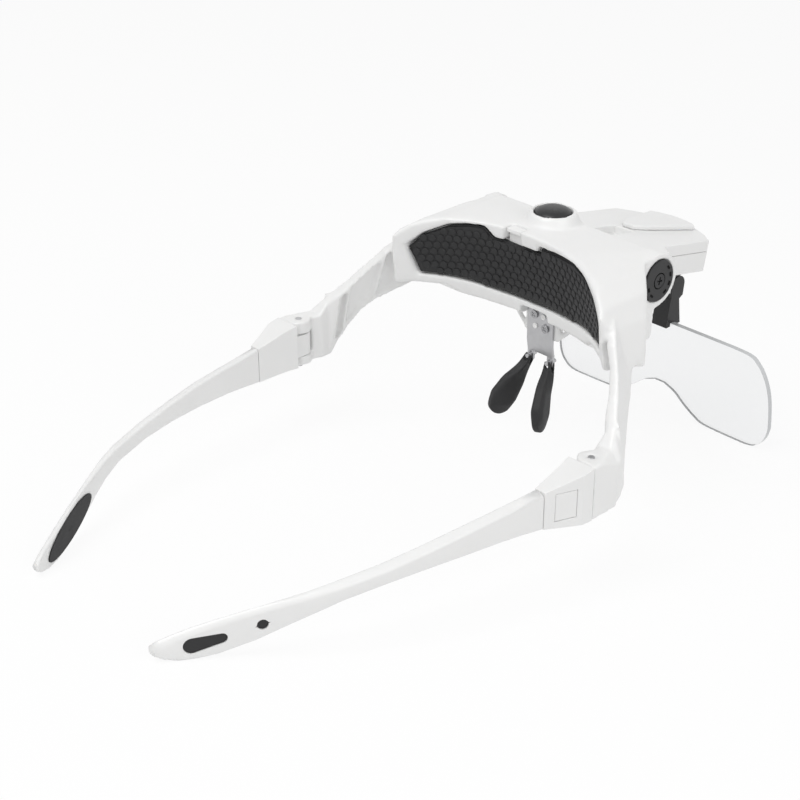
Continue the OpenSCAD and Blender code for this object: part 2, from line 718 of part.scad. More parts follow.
// Half of the outline of the lens, from the middle of its top edge to its nose notch
function lens_side() =
    let(w = lens_half, t = -lens_drop, h = lens_h)
    [[tab_half, t], [w - 13.6, t - 0.6], [w - 8.1, t - 3.4], [w - 3.9, t - 9.1], [w - 1.2, t - 17],
     [w, t - h + 12.8], [w - 0.3, t - h + 8.8], [w - 1.5, t - h + 5.4], [w - 3.4, t - h + 2.9], [w - 6, t - h + 1],
     [w - 9, t - h + 0.2], [w - 14, t - h], [w - 30.9, t - h + 0.4], [w - 36.7, t - h + 2.3],
     [w - 42.7, t - h + 6], [8.2, t - h + notch_h - 2.6], [2.5, t - h + notch_h]];

module lens() {
    color("lightcyan", 0.4) standing() along_y(-lens_y - lens_t / 2, -lens_y + lens_t / 2)
        polygon(concat([[tab_half, clip_low + tab_h]], lens_side(), mirrored(lens_side()), [[-tab_half, clip_low + tab_h]]));
}

// Nose rest

tab_x = 5;
nose_pin_z = -11;
nose_pin_y = boss_y - bracket_t / 2 + 0.8;
nose_axle = 0.8;

module nose_bracket() {
    color("silver") standing() difference() {
        union() {
            along_x(-bracket_half, bracket_half) polygon([
                [-boss_y, plate_top], [-boss_y + bracket_t, plate_top], [-boss_y + bracket_t, -4],
                [-boss_y + bracket_t - 0.8, -8.8], [-boss_y - 0.8, -8.8], [-boss_y, -4]]);
            for (side = [-1, 1]) on_side(side)
                translate([tab_x - 1.5, -boss_y - 0.8, nose_pin_z - 1.6]) cube([3, bracket_t, 5]);
        }
        for (p = bracket_holes)
            translate([p[0], -boss_y - 3, p[1]]) rotate([-90, 0, 0]) cylinder(r = screw_r + snug, h = 6, $fn = 24);
        for (x = [-tab_x, tab_x])
            translate([x, -boss_y - 3, nose_pin_z]) rotate([-90, 0, 0]) cylinder(r = nose_axle + snug, h = 6, $fn = 24);
    }
}

module bracket_screws() {
    color("silver") standing() for (p = bracket_holes)
        translate([p[0], -boss_y + bracket_t + snug, p[1]]) rotate([90, 0, 0]) {
            cylinder(r = screw_r, h = 5, $fn = 24);
            difference() {
                translate([0, 0, -0.7]) cylinder(r = 1.7, h = 0.7, $fn = 32);
                for (a = [45, 135]) rotate([0, 0, a]) translate([-1.1, -0.2, -1]) cube([2.2, 0.4, 0.6]);
            }
        }
}

module nose_pins() {
    color("silver") standing() for (x = [-tab_x, tab_x])
        translate([x, -nose_pin_y - 2.6, nose_pin_z]) rotate([-90, 0, 0]) cylinder(r = nose_axle, h = 5.2, $fn = 24);
}

pad_splay = 15;
pad_sweep = 24;

// One nose pad, a drop of rubber that hangs from its pin
module nose_pad(side) {
    color("dimgray") standing() on_side(side) difference() {
        translate([tab_x, -nose_pin_y, nose_pin_z]) rotate([0, -pad_splay, 0]) rotate([pad_sweep, 0, 0]) {
            hull() {
                rotate([0, 90, 0]) cylinder(r = 2.3, h = 3, center = true, $fn = 32);
                translate([0, 0.8, -nose_pad_l + 8]) rotate([0, 90, 0])
                    cylinder(r = 4.6, h = nose_pad_t * 0.6, center = true, $fn = 32);
                translate([0, 0.8, -nose_pad_l + 8]) rotate([0, 90, 0])
                    cylinder(r = 3.2, h = nose_pad_t, center = true, $fn = 32);
                translate([0, 0.6, -nose_pad_l + 4.4]) rotate([0, 90, 0])
                    cylinder(r = 4, h = nose_pad_t * 0.5, center = true, $fn = 32);
            }
        }
        translate([tab_x - 5, -nose_pin_y - bracket_t / 2 - gap, nose_pin_z - 2.6])
            cube([10, bracket_t + 2 * gap, 8]);
        translate([tab_x, -nose_pin_y - 5, nose_pin_z]) rotate([-90, 0, 0])
            cylinder(r = nose_axle + run, h = 10, $fn = 24);
    }
}

module nose_pad_left() {
    nose_pad(1);
}

module nose_pad_right() {
    nose_pad(-1);
}

// Hinges and release buttons

seam_y = 5.3;
tang_t = 1.8;
tang_h = 6.5;
tang_l = 8;
tang_z = -11.3;
release_y = 16;
release_z = -11.1;
release_w = 7.6;
release_h = 10.4;
release_d = 1.5;
block_end = temple_path[0][0] - gap;

function block_ring(y, x0, x1, z0, z1, rise) =
    [[pin_x + x1, y, z1], [pin_x + x1, y, z0], [pin_x + x0, y, z0 + rise], [pin_x + x0, y, z1]];

module hinge_pins() {
    color("silver") standing() for (x = [-pin_x, pin_x])
        translate([x, 0, -hinge_h + 0.1]) cylinder(r = pin_r, h = hinge_h - 0.2, $fn = 32);
}

// The outer face of the block at y
function block_face(y) = y < 10 ? 6 - (y - seam_y) * 0.05 : 5.8 - (y - 10) * 0.38;

module hinge_block(side) {
    first = temple_path[0];
    color("white") standing() on_side(side) difference() {
        union() {
            skin([block_ring(seam_y, -5.5, block_face(seam_y), -hinge_h + 0.2, 0, heel),
                  block_ring(10, -4.6, block_face(10), -hinge_h + 0.5, -0.8, heel - 0.3),
                  block_ring(17, -4.2, block_face(17), -hinge_h + 1.4, -2.6, heel - 1.2),
                  block_ring(block_end, first[1] - temple_t / 2, first[1] + temple_t / 2 + 0.2, first[3], first[2], 0)]);
            translate([pin_x, 0, knuckle_low + gap])
                cylinder(r = knuckle_r, h = knuckle_high - knuckle_low - 2 * gap, $fn = 48);
            translate([pin_x - knuckle_r, 0, knuckle_low + gap])
                cube([2 * knuckle_r, seam_y + 1, knuckle_high - knuckle_low - 2 * gap]);
        }
        translate([pin_x, 0, -hinge_h]) cylinder(r = pin_r + run, h = hinge_h, $fn = 32);
        translate([pin_x + first[1] - tang_t / 2 - snug, block_end - tang_l - gap, tang_z - tang_h / 2 - snug])
            cube([tang_t + 2 * snug, tang_l + 2, tang_h + 2 * snug]);
        translate([pin_x + first[1] + tang_t / 2 - gap, release_y - release_w / 2 - gap / 2, release_z - release_h / 2 - gap / 2])
            cube([10, release_w + gap, release_h + gap]);
    }
}

module hinge_block_left() {
    hinge_block(1);
}

module hinge_block_right() {
    hinge_block(-1);
}

module release_button(side) {
    y0 = release_y - release_w / 2;
    y1 = release_y + release_w / 2;
    x0 = pin_x + block_face(y1) - release_d;
    color("white") standing() on_side(side)
        translate([0, 0, release_z - release_h / 2]) linear_extrude(release_h)
            polygon([[x0, y0], [pin_x + block_face(y0), y0], [pin_x + block_face(y1), y1], [x0, y1]]);
}

module release_button_left() {
    release_button(1);
}

module release_button_right() {
    release_button(-1);
}

// Temples and ear grips

tip_t = temple_t - 1.2;

// Thickness of the temple at y
function temple_w(y) = y < 95 ? temple_t : y > 118 ? tip_t : temple_t - (temple_t - tip_t) * (y - 95) / 23;

function temple_ring(s) =
    let(x0 = pin_x + s[1] - temple_w(s[0]) / 2, x1 = pin_x + s[1] + temple_w(s[0]) / 2, y = s[0], zt = s[2],
        zb = s[3], c = 0.6)
    [[x1, y, zt - 2], [x1, y, zb + c], [x1 - c, y, zb], [x0 + c, y, zb], [x0, y, zb + c], [x0, y, zt - 1.1],
     [x0 + 0.5, y, zt - 0.3], [x0 + 1.2, y, zt], [x1 - 0.8, y, zt - 0.7]];

grip_y = 133;
grip_x = -32.7;
grip_z = -21;
grip_turn = 29;
grip_drop = 1.8;
grip_l = 33;
grip_w = 9.2;
grip_tilt = 12;
grip_raise = 0.5;
grip_sink = 0.6;
// Thickness of the temple square to its faces at the grip
face_t = tip_t * cos(grip_turn);

// Lays a shape in the grip's own frame: +X out of the head, +Y along the temple
module grip_frame() {
    translate([pin_x + grip_x, grip_y, grip_z]) rotate([0, 0, grip_turn]) children();
}

function oval(a, b) = [for (i = [0 : 39]) [a * cos(i * 9), b * sin(i * 9)]];

// The grip's oval, grown by m, through the thickness x0 to x1
module grip_oval(m, x0, x1) {
    along_x(x0, x1) translate([0, -grip_drop]) rotate(-grip_tilt) polygon(oval(grip_l / 2 + m, grip_w / 2 + m));
}

// The two lugs of the grip that show on the outside of the temple, grown by m
module grip_lugs(m, x0, x1) {
    along_x(x0, x1) {
        translate([10, -3.7]) circle(r = 2.8 + m, $fn = 32);
        translate([0.7, -2.5]) circle(r = 1.8 + m, $fn = 32);
        polygon([[10.06, -0.9 + m], [0.74, -0.7 + m], [0.28, -4.25 - m], [9.35, -6.42 - m]]);
        translate([-12.1, 0.3]) circle(r = 1.8 + m, $fn = 32);
        polygon([[-14.6 - m, 0.85], [-12.1, 1.2 + m], [-9.6 + m, -0.3], [-12.1, -0.7 - m]]);
    }
}

module temple(side) {
    first = temple_path[0];
    color("white") standing() on_side(side) {
        difference() {
            skin([for (s = temple_path) temple_ring(s)]);
            grip_frame() {
                grip_oval(snug, -face_t / 2 - 5, -face_t / 2 + grip_sink);
                grip_lugs(snug, -face_t / 2 - 1, face_t / 2 + 3);
            }
        }
        translate([pin_x + first[1] - tang_t / 2, first[0] - tang_l - gap, tang_z - tang_h / 2])
            cube([tang_t, tang_l + gap + 1, tang_h]);
    }
}

module temple_left() {
    temple(1);
}

module temple_right() {
    temple(-1);
}

module ear_grip(side) {
    color("dimgray") standing() on_side(side) grip_frame() {
        grip_oval(0, -face_t / 2 - grip_raise, -face_t / 2 + grip_sink - snug);
        grip_lugs(0, -face_t / 2, face_t / 2 - 0.3);
    }
}

module ear_grip_left() {
    ear_grip(1);
}

module ear_grip_right() {
    ear_grip(-1);
}

front_frame();
pad_carrier();
forehead_pad();
power_button();
switch_body();
battery_tray();
battery_cells();
battery_contacts();
lamp_shell_lower();
lamp_shell_upper();
lamp_cover();
led_board();
leds();
led_windows();
hub_caps();
hub_screws();
hub_bushes();
lens_arm();
arm_pin();
lens_clip();
lens();
nose_bracket();
bracket_screws();
nose_pins();
nose_pad_left();
nose_pad_right();
hinge_pins();
hinge_block_left();
hinge_block_right();
release_button_left();
release_button_right();
temple_left();
temple_right();
ear_grip_left();
ear_grip_right();
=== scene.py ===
"""Looks for a lighted headband magnifier, built round its packed construction model."""
import logging
import math
from dataclasses import dataclass, field
from enum import Enum
from typing import Callable, Protocol, Sequence, TypeAlias

import bmesh
import bpy
from mathutils import Matrix, Vector


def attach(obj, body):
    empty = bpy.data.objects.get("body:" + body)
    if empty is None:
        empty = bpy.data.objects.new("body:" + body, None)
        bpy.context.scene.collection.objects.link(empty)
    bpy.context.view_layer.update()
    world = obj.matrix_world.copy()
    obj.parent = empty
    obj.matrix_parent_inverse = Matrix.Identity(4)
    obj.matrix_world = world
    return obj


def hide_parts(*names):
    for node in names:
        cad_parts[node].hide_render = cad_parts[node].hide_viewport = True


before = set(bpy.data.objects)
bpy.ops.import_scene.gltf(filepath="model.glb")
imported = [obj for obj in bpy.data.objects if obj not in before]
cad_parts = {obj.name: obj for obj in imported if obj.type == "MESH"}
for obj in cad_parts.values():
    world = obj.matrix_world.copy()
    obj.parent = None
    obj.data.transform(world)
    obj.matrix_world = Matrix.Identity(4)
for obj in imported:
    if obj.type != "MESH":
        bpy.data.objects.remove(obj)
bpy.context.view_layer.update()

log = logging.getLogger("magnifier")
MM = 0.001
#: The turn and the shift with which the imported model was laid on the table.
LEAN = math.radians(6.429312500779144)
WORN_SHIFT = Vector((0.0, -0.0020702777, 0.0457625285))
#: Turns millimetres of the wearing frame, with its origin between the hinge pins, into metres on the table.
WORN = Matrix.Translation(WORN_SHIFT) @ Matrix.Rotation(-LEAN, 4, "X") @ Matrix.Scale(MM, 4)

Triple: TypeAlias = tuple[float, float, float]
Socketed: TypeAlias = "float | Sequence[float] | Wire"


class Side(Enum):
    """The wearer's left and right."""

    LEFT = 1
    RIGHT = -1

    @property
    def word(self) -> str:
        """The side's name in node names."""
        return self.name.lower()

    @property
    def flip(self) -> Matrix:
        """Turns a shape of the left side into this side's."""
        return Matrix.Scale(self.value, 4, (1, 0, 0))


class Slot(Enum):
    """The material slots of the record."""

    WHITE_ABS = "white_abs"
    BLACK_PLASTIC = "black_plastic"
    BLACK_RUBBER = "black_rubber"
    NOSE_RUBBER = "nose_rubber"
    SPRING_STEEL = "spring_steel"
    BLACK_STEEL = "black_steel"
    CELL_STEEL = "cell_steel"
    BOARD_GREEN = "board_green"
    LED_YELLOW = "led_yellow"
    WINDOW_CLEAR = "window_clear"
    LENS_CLEAR = "lens_clear"


# Shader maths


class Wire:
    """A shader value that arithmetic adds Math nodes to."""

    def __init__(self, bench: "ShaderBench", socket: bpy.types.NodeSocket) -> None:
        """Wraps a socket.

        Args:
            bench: The bench that owns the material's nodes.
            socket: The output socket that carries the value.
        """
        self.bench = bench
        self.socket = socket

    def _maths(self, operation: str, first: Socketed, second: Socketed) -> "Wire":
        """Adds one Math node.

        Args:
            operation: The Math node's operation.
            first: Its first value or wire.
            second: Its second value or wire.

        Returns:
            The node's result.
        """
        return self.bench.node("ShaderNodeMath", {"operation": operation}, {0: first, 1: second})

    def __add__(self, other: Socketed) -> "Wire":
        """Sum."""
        return self._maths("ADD", self, other)

    def __radd__(self, other: Socketed) -> "Wire":
        """Sum, reflected."""
        return self._maths("ADD", other, self)

    def __mul__(self, other: Socketed) -> "Wire":
        """Product."""
        return self._maths("MULTIPLY", self, other)

    def __rmul__(self, other: Socketed) -> "Wire":
        """Product, reflected."""
        return self._maths("MULTIPLY", other, self)

    def __truediv__(self, other: Socketed) -> "Wire":
        """Quotient."""
        return self._maths("DIVIDE", self, other)

    def __rtruediv__(self, other: Socketed) -> "Wire":
        """Quotient, reflected."""
        return self._maths("DIVIDE", other, self)


class ShaderBench:
    """The nodes of one material or of the world."""

    def __init__(self, owner: bpy.types.Material | bpy.types.World) -> None:
        """Takes the owner's node tree and empties it.

        Args:
            owner: The material or world that the nodes belong to.
        """
        self.owner = owner
        owner.use_nodes = True
        self.tree = owner.node_tree
        self.tree.nodes.clear()

    def node(self, kind: str, settings: dict[str, object] | None = None,
             inputs: dict[str | int, Socketed] | None = None, output: str | int = 0) -> Wire | None:
        """Adds a node, sets it, and feeds its sockets.

        Args:
            kind: The node's type.
            settings: Values of the node itself, set before its sockets.
            inputs: Values or wires by socket name or number.
            output: The output that is wrapped.

        Returns:
            The wrapped output, or None for a node that has no outputs.
        """
        made = self.tree.nodes.new(kind)
        for key, value in (settings or {}).items():
            if key == "stops":
                self._ramp(made.color_ramp, value)
            else:
                setattr(made, key, value)
        for key, value in (inputs or {}).items():
            if isinstance(value, Wire):
                self.tree.links.new(value.socket, made.inputs[key])
            else:
                made.inputs[key].default_value = value
        return Wire(self, made.outputs[output]) if made.outputs else None

    def _ramp(self, ramp: bpy.types.ColorRamp, stops: Sequence[tuple[float, Sequence[float]]]) -> None:
        """Sets a colour ramp's stops.

        Args:
            ramp: The ramp, with the two stops that it starts with.
            stops: Place and colour of each stop, in order.
        """
        for element, (place, colour) in zip(ramp.elements, (stops[0], stops[-1])):
            element.position, element.color = place, colour
        for place, colour in stops[1:-1]:
            ramp.elements.new(place).color = colour

    def place(self, scale: Triple = (1.0, 1.0, 1.0)) -> Wire:
        """Object coordinates through a Mapping node.

        Args:
            scale: The pattern's scale along each axis.

        Returns:
            The mapped coordinates.
        """
        where = self.node("ShaderNodeTexCoord", output="Object")
        return self.node("ShaderNodeMapping", {}, {"Vector": where, "Scale": scale})

    def noise(self, size_mm: float, detail: float = 3.0, stretch: Triple = (1.0, 1.0, 1.0)) -> Wire:
        """Noise of a given grain size.

        Args:
            size_mm: About the size of one grain.
            detail: Levels of finer grain.
            stretch: Scale along each axis.

        Returns:
            The noise, about 0.5 in the middle.
        """
        per_metre = 1.0 / (size_mm * MM)
        return self.node("ShaderNodeTexNoise", {}, {
            "Vector": self.place(stretch), "Scale": per_metre, "Detail": detail, "Roughness": 0.55})

    def mix(self, share: Wire, first: Triple, second: Triple) -> Wire:
        """A mix of two colours.

        Args:
            share: The share of the second colour.
            first: Colour at 0.
            second: Colour at 1.

        Returns:
            The mixed colour.
        """
        colours = {"Factor": share, "A": (*first, 1.0), "B": (*second, 1.0)}
        return self.node("ShaderNodeMix", {"data_type": "RGBA"}, colours, "Result")

    def bump(self, height: Wire, depth_mm: float) -> Wire:
        """A Bump node.

        Args:
            height: Height from 0 to 1.
            depth_mm: What a height of 1 stands for.

        Returns:
            The bumped normal.
        """
        return self.node("ShaderNodeBump", {}, {"Height": height, "Distance": depth_mm * MM, "Strength": 1.0})

    def surface(self, inputs: dict[str, Socketed]) -> bpy.types.Material:
        """Ends the material in a Principled shader.

        Args:
            inputs: Values or wires by socket name.

        Returns:
            The finished material.
        """
        shader = self.node("ShaderNodeBsdfPrincipled", {}, inputs)
        self.node("ShaderNodeOutputMaterial", {}, {"Surface": shader})
        return self.owner


class Finish(Protocol):
    """What every finish offers."""

    @property
    def name(self) -> str:
        """The material's name."""

    def make(self) -> bpy.types.Material:
        """Builds the material."""


@dataclass(frozen=True)
class Moulded:
    """Moulded plastic or rubber: an even colour with a fine spark-eroded grain."""

    name: str
    colour: Triple
    drift: Triple
    roughness: float = 0.4
    spread: float = 0.05
    grain_mm: float = 0.35
    relief_mm: float = 0.004
    coat: float = 0.0
    specular: float = 0.5
    subsurface: float = 0.0
    cloud_mm: float = 22.0
    sheen_mm: float = 4.0
    scatter_mm: float = 0.8

    def make(self) -> bpy.types.Material:
        """Builds the material.

        Returns:
            The material.
        """
        bench = ShaderBench(bpy.data.materials.new(self.name))
        cloud = bench.noise(self.cloud_mm, 2.0)
        grain = bench.noise(self.grain_mm, 2.0)
        values = {
            "Base Color": bench.mix(cloud, self.colour, self.drift),
            "Roughness": bench.noise(self.sheen_mm) * (2 * self.spread) + (self.roughness - self.spread),
            "Normal": bench.bump(grain, self.relief_mm),
            "Coat Weight": self.coat,
            "Coat Roughness": 0.25,
            "Specular IOR Level": self.specular,
            "IOR": 1.49,
        }
        if self.subsurface:
            values |= {"Subsurface Weight": self.subsurface, "Subsurface Radius": (1.0, 0.95, 0.9),
                       "Subsurface Scale": self.scatter_mm * MM}
        return bench.surface(values)


@dataclass(frozen=True)
class Metal:
    """Drawn or plated steel with fine streaks."""

    name: str
    colour: Triple
    worn: Triple
    roughness: float = 0.3
    spread: float = 0.08
    patch_mm: float = 3.0
    streak_mm: float = 0.25
    streak_stretch: Triple = (0.06, 1.0, 1.0)
    relief_mm: float = 0.003
    metallic: float = 1.0

    def make(self) -> bpy.types.Material:
        """Builds the material.

        Returns:
            The material.
        """
        bench = ShaderBench(bpy.data.materials.new(self.name))
        streak = bench.noise(self.streak_mm, stretch=self.streak_stretch)
        return bench.surface({
            "Base Color": bench.mix(bench.noise(self.patch_mm), self.colour, self.worn),
            "Metallic": self.metallic,
            "Roughness": streak * (2 * self.spread) + (self.roughness - self.spread),
            "Normal": bench.bump(streak, self.relief_mm),
        })


@dataclass(frozen=True)
class Clear:
    """Clear or frosted acrylic."""

    name: str
    colour: Triple
    roughness: float = 0.02
    haze: float = 0.01
    ior: float = 1.49
    relief_mm: float = 0.0004
    smear_mm: float = 9.0
    wave_mm: float = 6.0

    def make(self) -> bpy.types.Material:
        """Builds the material.

        Returns:
            The material.
        """
        bench = ShaderBench(bpy.data.materials.new(self.name))
        smear = bench.noise(self.smear_mm, 2.0)
        return bench.surface({
            "Base Color": (*self.colour, 1.0),
            "Roughness": smear * (2 * self.haze) + self.roughness,
            "Normal": bench.bump(bench.noise(self.wave_mm, 1.0), self.relief_mm),
            "Transmission Weight": 1.0,
            "IOR": self.ior,
        })


@dataclass(frozen=True)
class Printed:
    """A printed cell sleeve with a plain band at one end."""

    name: str
    colour: Triple
    band: Triple
    long_mm: float = 44.5
    band_share: float = 0.29
    fade: float = 0.01
    metallic: float = 0.6
    roughness: float = 0.28
    spread: float = 0.1
    sheen_mm: float = 2.0
    grain_mm: float = 0.3
    relief_mm: float = 0.003

    def make(self) -> bpy.types.Material:
        """Builds the material.

        Returns:
            The material.
        """
        bench = ShaderBench(bpy.data.materials.new(self.name))
        along = bench.node("ShaderNodeSeparateXYZ", {}, {"Vector": bench.place()}, "X")
        share = along / (self.long_mm * MM) + 0.5
        band, sleeve = (*self.band, 1.0), (*self.colour, 1.0)
        low, high = self.band_share - self.fade, self.band_share + self.fade
        stops = [(0.0, band), (low, band), (high, sleeve), (1.0, sleeve)]
        ramp = bench.node("ShaderNodeValToRGB", {"stops": stops}, {"Fac": share})
        return bench.surface({
            "Base Color": ramp,
            "Metallic": self.metallic,
            "Roughness": bench.noise(self.sheen_mm) * self.spread + self.roughness,
            "Normal": bench.bump(bench.noise(self.grain_mm), self.relief_mm),
        })


WHITE = Moulded("white_abs", (0.79, 0.79, 0.785), (0.83, 0.83, 0.825), roughness=0.36, grain_mm=0.45,
                relief_mm=0.0035, coat=0.1, subsurface=0.1)
RUBBER = Moulded("black_rubber", (0.024, 0.024, 0.025), (0.032, 0.032, 0.033), roughness=0.58, spread=0.08,
                 grain_mm=0.25, relief_mm=0.008, specular=0.28)
BLACK = Moulded("black_plastic", (0.016, 0.016, 0.017), (0.023, 0.023, 0.024), spread=0.07, grain_mm=0.3,
                relief_mm=0.006, specular=0.32)
# Near-black boxes on the hub caps: painted shade that stands in for the dark inside the spanner slots.
SLOT_SHADE = Moulded("slot_painted_shade", (0.003, 0.003, 0.003), (0.005, 0.005, 0.005), roughness=0.7, grain_mm=0.3,
                     relief_mm=0.002, specular=0.1)
DOME = Moulded("button_black", (0.01, 0.01, 0.011), (0.015, 0.015, 0.016), roughness=0.34, grain_mm=0.25,
               relief_mm=0.003, specular=0.4)
STEEL = Metal("spring_steel", (0.42, 0.42, 0.43), (0.54, 0.54, 0.55), roughness=0.34)
SCREW = Metal("bright_screw", (0.3, 0.3, 0.31), (0.45, 0.45, 0.46), roughness=0.25)
DARK_SCREW = Metal("black_steel", (0.02, 0.02, 0.021), (0.04, 0.04, 0.042), roughness=0.38, metallic=0.6)
BOARD = Moulded("board_green", (0.01, 0.09, 0.03), (0.015, 0.12, 0.04), grain_mm=0.6, coat=0.2)
PHOSPHOR = Moulded("led_yellow", (0.75, 0.6, 0.15), (0.8, 0.66, 0.2), roughness=0.25, spread=0.04,
                   grain_mm=0.3, relief_mm=0.002, coat=0.4)
LENS_FACE = Clear("lens_clear", (0.9, 0.905, 0.91), roughness=0.01)
# An opaque grey for the lens's edge faces: painted shade that stands in for how light looks in the clear
# acrylic edge.
LENS_EDGE_SHADE = Moulded("lens_rim_painted_shade", (0.5, 0.51, 0.52), (0.6, 0.61, 0.62), roughness=0.2, grain_mm=3.0,
                   relief_mm=0.01, coat=0.3)
WINDOW = Clear("window_clear", (0.93, 0.94, 0.95), roughness=0.3, haze=0.05)
CELL = Printed("cell_steel", (0.03, 0.035, 0.05), (0.65, 0.5, 0.25))


@dataclass(frozen=True)
class Skin:
    """How a piece in a node's own shape is dressed."""

    finish: Finish
    slot: Slot
    edge_mm: float
    segments: int = 2
    angle: float = 34.0


class Finishes:
    """Builds each finish once and hands it out."""

    def __init__(self) -> None:
        """Starts with nothing built."""
        self._made: dict[str, bpy.types.Material] = {}

    def of(self, finish: Finish) -> bpy.types.Material:
        """The material of a finish.

        Args:
            finish: One of the finishes above.

        Returns:
            Its material.
        """
        if finish.name not in self._made:
            self._made[finish.name] = finish.make()
        return self._made[finish.name]


# Mesh tools


class Bench:
    """Makes meshes and puts them into the scene."""

    weld_m: float = 2e-6
    flat_degrees: float = 0.4

    def __init__(self, finishes: Finishes) -> None:
        """Starts the bench.

        Args:
            finishes: Where materials come from.
        """
        self.finishes = finishes

    def object(self, name: str, bm: bmesh.types.BMesh, *finishes: Finish) -> bpy.types.Object:
        """Turns a bmesh into an object with finishes.

        Args:
            name: The piece's name.
            bm: The mesh in the making, which is freed.
            finishes: Finishes, in the order of the faces' material numbers.

        Returns:
            The object.
        """
        mesh = bpy.data.meshes.new(name)
        bm.to_mesh(mesh)
        bm.free()
        for finish in finishes:
            mesh.materials.append(self.finishes.of(finish))
        made = bpy.data.objects.new(name, mesh)
        bpy.context.scene.collection.objects.link(made)
        return made

    def welded(self, node: str) -> bmesh.types.BMesh:
        """A welded copy of a node's mesh, with its flat faces whole.

        Args:
            node: The node's name.

        Returns:
            The copy.
        """
        bm = bmesh.new()
        bm.from_mesh(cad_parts[node].data)
        bmesh.ops.remove_doubles(bm, verts=bm.verts, dist=self.weld_m)
        for layer in list(bm.loops.layers.uv):
            bm.loops.layers.uv.remove(layer)
        bmesh.ops.dissolve_limit(bm, angle_limit=math.radians(self.flat_degrees),
                                 use_dissolve_boundaries=False, verts=bm.verts, edges=bm.edges)
        for face in bm.faces:
            face.material_index = 0
        return bm

    def soften(self, piece: bpy.types.Object, width_mm: float, segments: int = 2,
               angle: float = 34.0) -> None:
        """Rounds a piece's edges and smooths its shading.

        Args:
            piece: The piece.
            width_mm: How wide the rounded edge is.
            segments: Faces across it.
            angle: Edges sharper than this many degrees are rounded.
        """
        for face in piece.data.polygons:
            face.use_smooth = True
        piece.data.set_sharp_from_angle(angle=math.radians(angle))
        if width_mm:
            bevel = piece.modifiers.new("edges", "BEVEL")
            bevel.width = width_mm * MM
            bevel.segments = segments
            bevel.limit_method = "ANGLE"
            bevel.angle_limit = math.radians(angle)
            bevel.harden_normals = True
            bevel.use_clamp_overlap = True
            bevel.miter_outer = "MITER_ARC"
        normals = piece.modifiers.new("normals", "WEIGHTED_NORMAL")
        normals.keep_sharp = True
        normals.weight = 60

    def baked(self, piece: bpy.types.Object) -> None:
        """Applies a piece's modifiers.

        Args:
            piece: The piece.
        """
        bpy.context.view_layer.update()
        graph = bpy.context.evaluated_depsgraph_get()
        mesh = bpy.data.meshes.new_from_object(piece.evaluated_get(graph))
        piece.modifiers.clear()
        piece.data = mesh

    def flowed(self, piece: bpy.types.Object, voxel_mm: float, rounds: int,
               share: Callable[[Vector], float] = lambda place: 1.0) -> None:
        """Melts a piece's edges into soft, moulded ones.

        Args:
            piece: The piece.
            voxel_mm: Size of the voxels of its new skin.
            rounds: Rounds of smoothing.
            share: How much a place in the wearing frame is smoothed, from 0 to 1.
        """
        remesh = piece.modifiers.new("skin", "REMESH")
        remesh.mode = "VOXEL"
        remesh.voxel_size = voxel_mm * MM
        self.baked(piece)
        self.smoothed(piece, rounds, share)
        for face in piece.data.polygons:
            face.use_smooth = True

    def smoothed(self, piece: bpy.types.Object, rounds: int, share: Callable[[Vector], float]) -> None:
        """Smooths a piece's surface where it is asked to.

        Args:
            piece: The piece.
            rounds: Rounds of smoothing.
            share: How much a place in the wearing frame is smoothed, from 0 to 1.
        """
        group = piece.vertex_groups.new(name="soft")
        back = WORN.inverted()
        for vertex in piece.data.vertices:
            group.add([vertex.index], share(back @ vertex.co), "REPLACE")
        smooth = piece.modifiers.new("flow", "SMOOTH")
        smooth.factor = 0.5
        smooth.iterations = rounds
        smooth.vertex_group = group.name
        self.baked(piece)
        piece.vertex_groups.clear()


def spline(points: Sequence[Sequence[float]], steps: int) -> list[tuple[float, ...]]:
    """Points of a Catmull-Rom curve through the given ones.

    Args:
        points: Points of any dimension.
        steps: Points made for each stretch.

    Returns:
        The curve's points.
    """
    ends = [points[0], *points, points[-1]]
    out: list[tuple[float, ...]] = []
    for a, b, c, d in zip(ends, ends[1:], ends[2:], ends[3:]):
        for k in range(steps):
            t = k / steps
            out.append(tuple(0.5 * (2 * q + (r - p) * t + (2 * p - 5 * q + 4 * r - s) * t * t
                                    + (3 * q - p - 3 * r + s) * t ** 3) for p, q, r, s in zip(a, b, c, d)))
    return [*out, tuple(points[-1])]


def inside(point: tuple[float, float], outline: Sequence[tuple[float, float]]) -> bool:
    """Tells whether a point lies in a polygon.

    Args:
        point: The point.
        outline: The polygon.

    Returns:
        True if it does.
    """
    hit = False
    for (x0, y0), (x1, y1) in zip(outline, [*outline[1:], outline[0]]):
        if (y0 > point[1]) != (y1 > point[1]) and point[0] < (x1 - x0) * (point[1] - y0) / (y1 - y0) + x0:
            hit = not hit
    return hit


@dataclass
class Part:
    """A sub-assembly: its pieces are built, dressed and put on their bodies."""

    bench: Bench
    pieces: list[bpy.types.Object] = field(default_factory=list)

    def keep(self, piece: bpy.types.Object, body: str, *nodes: str, slot: Slot) -> None:
        """Puts a finished piece on its body and notes it.

        Args:
            piece: The piece.
            body: The body that it rides on.
            nodes: The nodes that it stands for.
            slot: Its material slot; not used.
        """
        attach(piece, body)
        if nodes:
            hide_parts(*nodes)
        self.pieces.append(piece)

    def moulding(self, node: str, body: str, skin: Skin) -> None:
        """Makes a piece in the node's shape, with rounded edges.

        Args:
            node: The node that it stands for.
            body: The body that it rides on.
            skin: How it is dressed.
        """
        piece = self.bench.object(f"{node}_moulding", self.bench.welded(node), skin.finish)
        self.bench.soften(piece, skin.edge_mm, skin.segments, skin.angle)
        self.keep(piece, body, node, slot=skin.slot)

    def mouldings(self, body: str, skins: dict[str, Skin]) -> None:
        """Makes several pieces of one body.

        Args:
            body: The body that they ride on.
            skins: How each node is dressed, by its name.
        """
        for node, skin in skins.items():
            self.moulding(node, body, skin)


